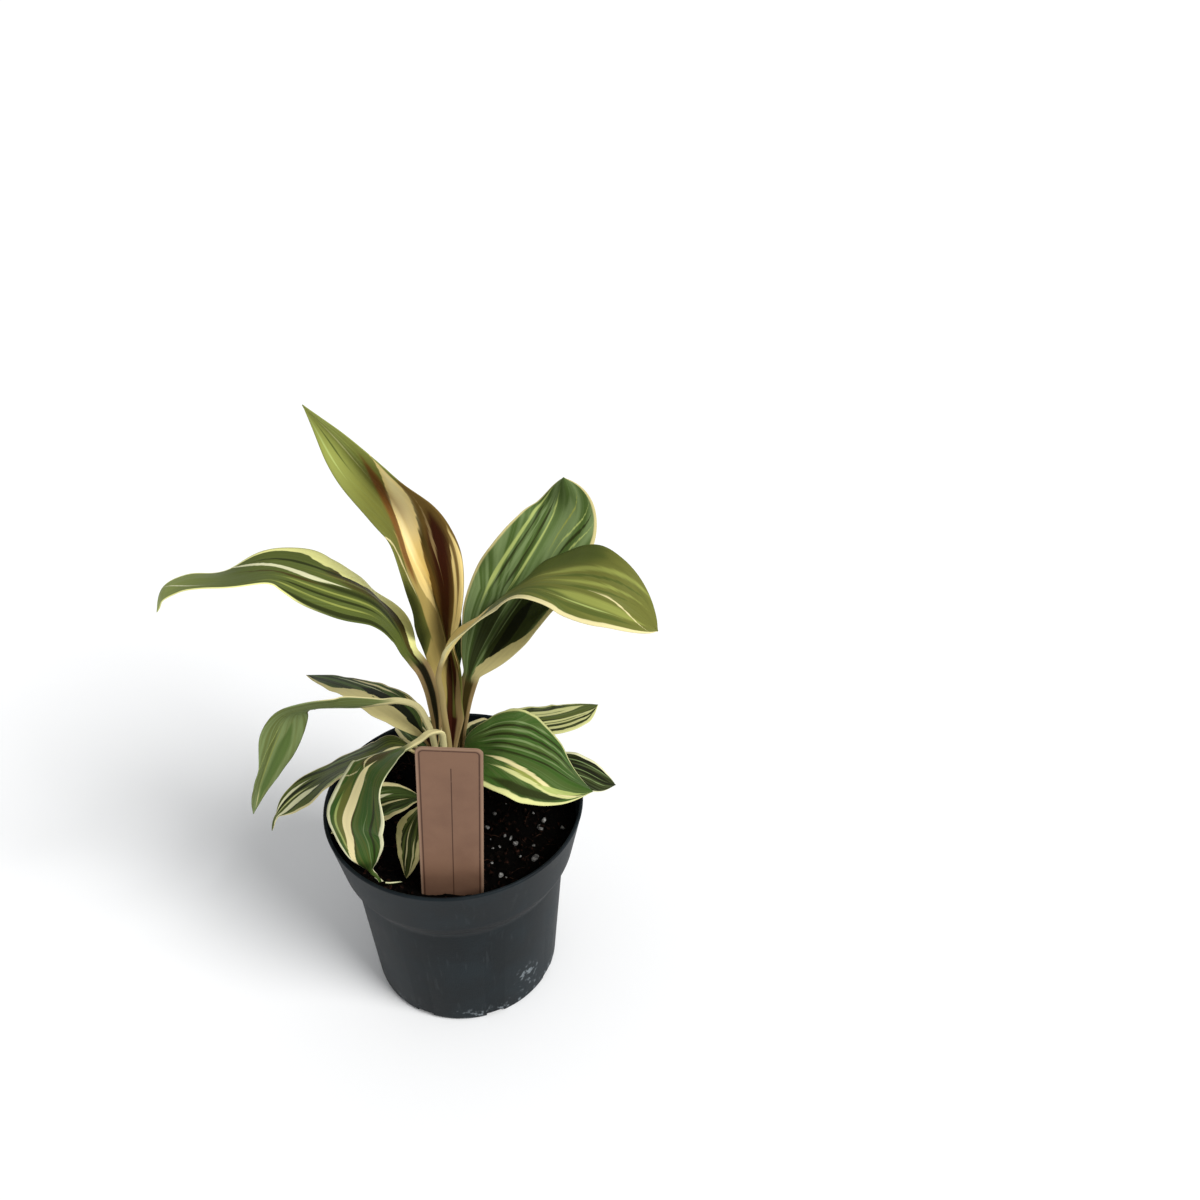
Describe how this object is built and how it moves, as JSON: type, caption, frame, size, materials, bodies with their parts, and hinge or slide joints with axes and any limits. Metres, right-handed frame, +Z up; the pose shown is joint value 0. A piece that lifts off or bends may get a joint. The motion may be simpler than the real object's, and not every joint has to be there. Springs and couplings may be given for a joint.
{
  "type": "potted ti plant",
  "caption": "Young ti plant with long striped, cream-edged leaves on stalks around a short cane, in a round plastic nursery pot with soil and a blank plant label.",
  "frame": {"origin": "middle of the pot's flat underside, where it stands", "axes": "+Z up along the pot's axis; +X to the right and +Y away from the front, where the label stands"},
  "size_m": [0.2029, 0.12, 0.3094],
  "materials": {
    "pot": "dull dark grey moulded plastic with pale water marks",
    "soil": "damp dark peat and bark fibres with pale perlite grains",
    "cane": "tan stem with leaf scars",
    "label": "matt card with a brown border line",
    "leaf": "satin leaf, dark green striped with cream, cream edges",
    "young_leaf": "satin young leaf, bronze and olive with yellow stripes"
  },
  "bodies": {
    "root": {"pot": "pot", "soil": "soil", "cane": "cane", "label": "label", "leaf_young_spear": "young_leaf", "leaf_arching_left": "leaf", "leaf_broad_right_back": "leaf", "leaf_broad_right": "leaf", "leaf_left_back": "leaf", "leaf_left_drooping": "leaf", "leaf_left_low": "leaf", "leaf_front_left_hanging": "leaf", "leaf_front_small": "leaf", "leaf_right_front": "leaf", "leaf_right_back": "leaf", "leaf_right_low": "leaf", "leaf_back_upright": "leaf", "leaf_front_left_low": "leaf", "leaf_back_right_low": "leaf", "leaf_back_left_low": "leaf"}
  },
  "joints": []
}
